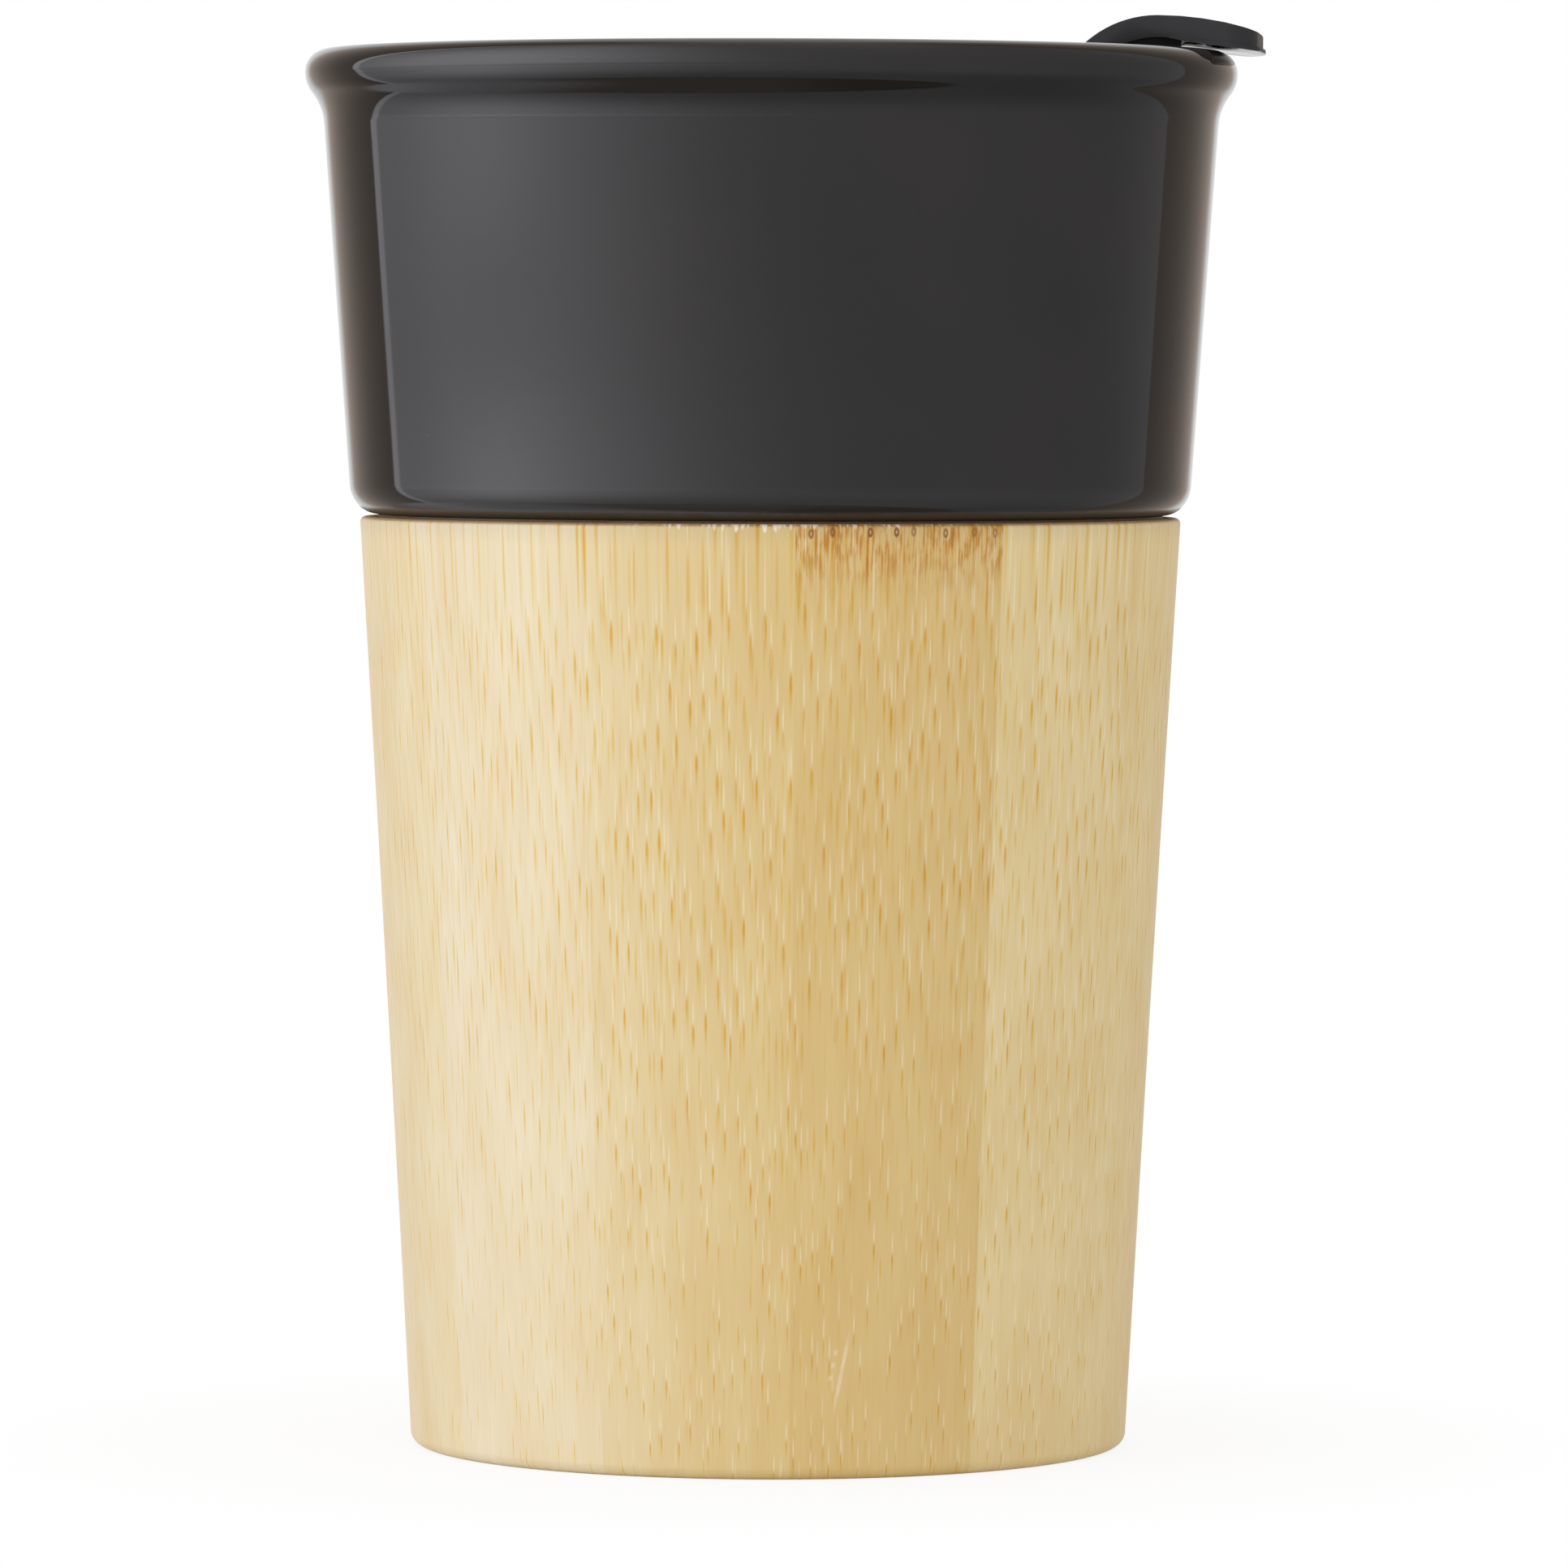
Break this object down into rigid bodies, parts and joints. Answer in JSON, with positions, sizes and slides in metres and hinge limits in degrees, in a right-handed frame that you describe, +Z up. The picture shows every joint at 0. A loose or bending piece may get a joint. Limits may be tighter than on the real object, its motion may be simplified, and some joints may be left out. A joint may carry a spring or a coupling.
{
  "type": "porcelain travel cup",
  "caption": "Tapered black porcelain travel cup with a rolled lip, a glued bamboo strip sleeve round its lower body and a plug-in lid with a flip cover over the sip slot.",
  "frame": {"origin": "centre of the foot, on the surface that the cup stands on", "axes": "+Z up along the cup's axis, +X towards the sip slot and the cover's tip, which the picture shows on the right, and the picture's camera on the -Y side"},
  "size_m": [0.0882, 0.0858, 0.1321],
  "materials": {
    "black_glaze": "high gloss",
    "bamboo": "satin varnish",
    "black_moulding": "satin",
    "black_rubber": "matt",
    "pin_steel": "bright drawn"
  },
  "bodies": {
    "cup": {"porcelain_cup": "black_glaze", "bamboo_strip_01": "bamboo", "bamboo_strip_02": "bamboo", "bamboo_strip_03": "bamboo", "bamboo_strip_04": "bamboo", "bamboo_strip_05": "bamboo", "bamboo_strip_06": "bamboo", "bamboo_strip_07": "bamboo", "bamboo_strip_08": "bamboo", "bamboo_strip_09": "bamboo", "bamboo_strip_10": "bamboo", "bamboo_strip_11": "bamboo", "bamboo_strip_12": "bamboo", "base_disc": "bamboo"},
    "seal": {"lid_seal": "black_rubber"},
    "lid": {"lid_body": "black_moulding", "hinge_pin": "pin_steel"},
    "cover": {"flip_cover": "black_moulding", "sip_plug": "black_rubber"}
  },
  "joints": [
    {"name": "lid_lift", "type": "slide", "parent": "cup", "child": "seal", "axis": [0, 0, 1], "range_m": [0, 0.04]},
    {"name": "lid_turn", "type": "hinge", "parent": "seal", "child": "lid", "pos_m": [0, 0, 0.123], "axis": [0, 0, 1], "continuous": true},
    {"name": "cover_flip", "type": "hinge", "parent": "lid", "child": "cover", "pos_m": [0.008, 0, 0.1255], "axis": [0, -1, 0], "range_deg": [0, 165]}
  ]
}
